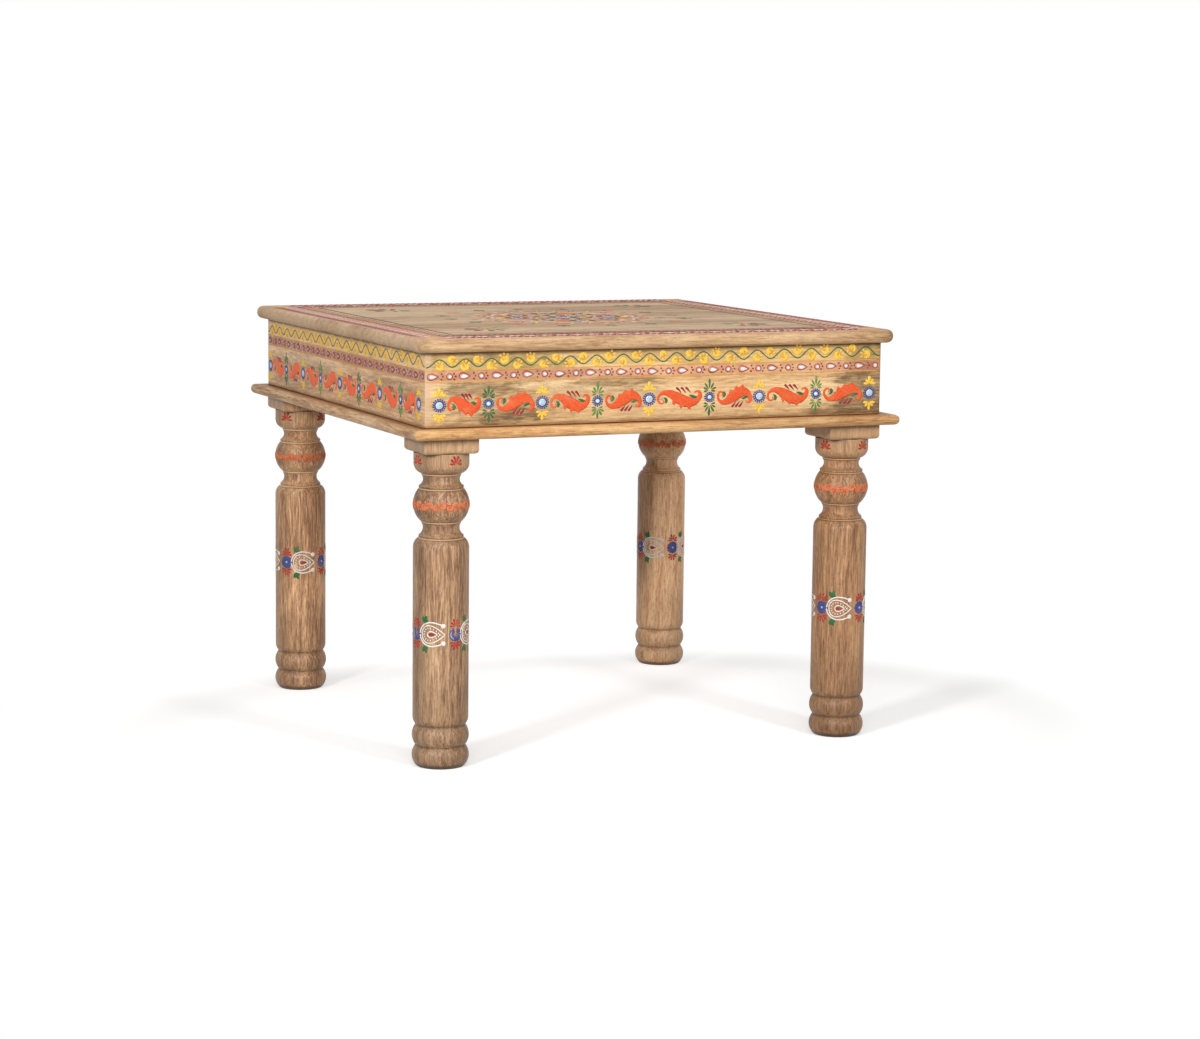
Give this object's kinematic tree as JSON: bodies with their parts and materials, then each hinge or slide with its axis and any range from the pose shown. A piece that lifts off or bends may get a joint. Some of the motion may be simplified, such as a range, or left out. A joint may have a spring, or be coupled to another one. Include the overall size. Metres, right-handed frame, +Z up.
{
  "type": "coffee table",
  "caption": "Square wooden coffee table with a boarded rounded-edge top, a hand-painted mitred apron on a rounded base rail, and turned legs bolted through corner blocks.",
  "frame": {"origin": "on the floor, under the middle of the table", "axes": "+Z up; the front, which the picture shows wide, faces -Y"},
  "size_m": [0.55, 0.55, 0.442],
  "materials": {
    "top_wood": "waxed mango wood",
    "apron_wood": "waxed mango wood",
    "rail_wood": "waxed mango wood",
    "leg_wood": "waxed mango wood",
    "inner_wood": "bare sawn wood",
    "screw_steel": "zinc plated",
    "bolt_steel": "zinc plated"
  },
  "bodies": {
    "root": {"top_board_1": "top_wood", "top_board_2": "top_wood", "top_board_3": "top_wood", "top_board_4": "top_wood", "top_board_5": "top_wood", "apron_front": "apron_wood", "apron_right": "apron_wood", "apron_back": "apron_wood", "apron_left": "apron_wood", "base_rail_front": "rail_wood", "base_rail_right": "rail_wood", "base_rail_back": "rail_wood", "base_rail_left": "rail_wood", "leg_front_left": "leg_wood", "leg_front_right": "leg_wood", "leg_back_right": "leg_wood", "leg_back_left": "leg_wood", "corner_block_front_left": "inner_wood", "corner_block_front_right": "inner_wood", "corner_block_back_right": "inner_wood", "corner_block_back_left": "inner_wood", "top_cleat_front": "inner_wood", "top_cleat_right": "inner_wood", "top_cleat_back": "inner_wood", "top_cleat_left": "inner_wood", "top_cleat_screws": "screw_steel", "apron_cleat_screws": "screw_steel", "corner_block_screws": "screw_steel", "base_rail_screws": "screw_steel", "leg_hanger_bolts": "bolt_steel", "leg_washers": "bolt_steel", "leg_nuts": "bolt_steel"}
  },
  "joints": []
}
